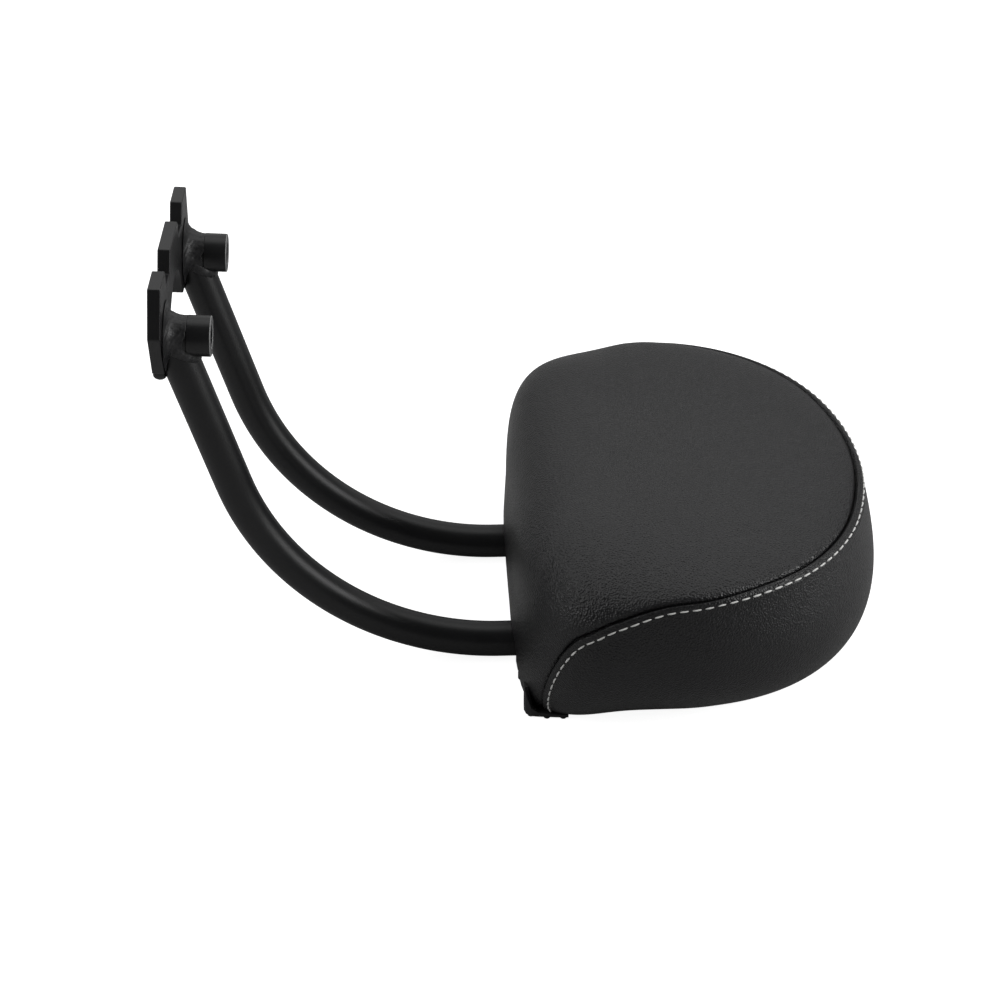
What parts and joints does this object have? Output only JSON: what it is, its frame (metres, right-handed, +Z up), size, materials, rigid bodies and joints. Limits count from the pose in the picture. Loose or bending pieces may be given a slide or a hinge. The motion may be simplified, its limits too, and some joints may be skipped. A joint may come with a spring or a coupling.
{
  "type": "motorbike passenger backrest",
  "caption": "Upholstered backrest pad on bent tubes that end in a welded mounting plate with bored bosses, lying on the pad's back.",
  "frame": {"origin": "bottom centre of the part's bounding box, on the floor that the pad lies on", "axes": "+X from the mounting plate along the tubes to the pad's far edge, +Z up from the floor, Y = 0 is the mirror plane"},
  "size_m": [0.3538, 0.258, 0.2155],
  "materials": {
    "black_powder_coat": "satin black powder coat",
    "black_coated_weld": "satin black powder coat over weld ripples",
    "zinc_plated_steel": "bright zinc plating",
    "black_moulded_plastic": "moulded, fine texture",
    "grey_foam": "open-cell foam",
    "black_synthetic_leather": "grained, satin"
  },
  "bodies": {
    "root": {"arm_tube_left": "black_powder_coat", "arm_tube_right": "black_powder_coat", "base_pan": "black_moulded_plastic", "bolt_front_left": "zinc_plated_steel", "bolt_front_right": "zinc_plated_steel", "bolt_rear_left": "zinc_plated_steel", "bolt_rear_right": "zinc_plated_steel", "boss_left": "black_powder_coat", "boss_right": "black_powder_coat", "boss_weld_left": "black_coated_weld", "boss_weld_right": "black_coated_weld", "bracket_weld_left_inner": "black_coated_weld", "bracket_weld_left_outer": "black_coated_weld", "bracket_weld_right_inner": "black_coated_weld", "bracket_weld_right_outer": "black_coated_weld", "foam_core": "grey_foam", "mounting_plate": "black_powder_coat", "pad_bracket": "black_powder_coat", "saddle_weld_left": "black_coated_weld", "saddle_weld_right": "black_coated_weld", "seam_fold": "black_synthetic_leather", "side_band": "black_synthetic_leather", "spring_washer_front_left": "zinc_plated_steel", "spring_washer_front_right": "zinc_plated_steel", "spring_washer_rear_left": "zinc_plated_steel", "spring_washer_rear_right": "zinc_plated_steel", "threaded_insert_front_left": "zinc_plated_steel", "threaded_insert_front_right": "zinc_plated_steel", "threaded_insert_rear_left": "zinc_plated_steel", "threaded_insert_rear_right": "zinc_plated_steel", "toe_weld_left": "black_coated_weld", "toe_weld_right": "black_coated_weld", "top_cover": "black_synthetic_leather", "tube_plug_left": "black_moulded_plastic", "tube_plug_right": "black_moulded_plastic", "washer_front_left": "zinc_plated_steel", "washer_front_right": "zinc_plated_steel", "washer_rear_left": "zinc_plated_steel", "washer_rear_right": "zinc_plated_steel"}
  },
  "joints": []
}
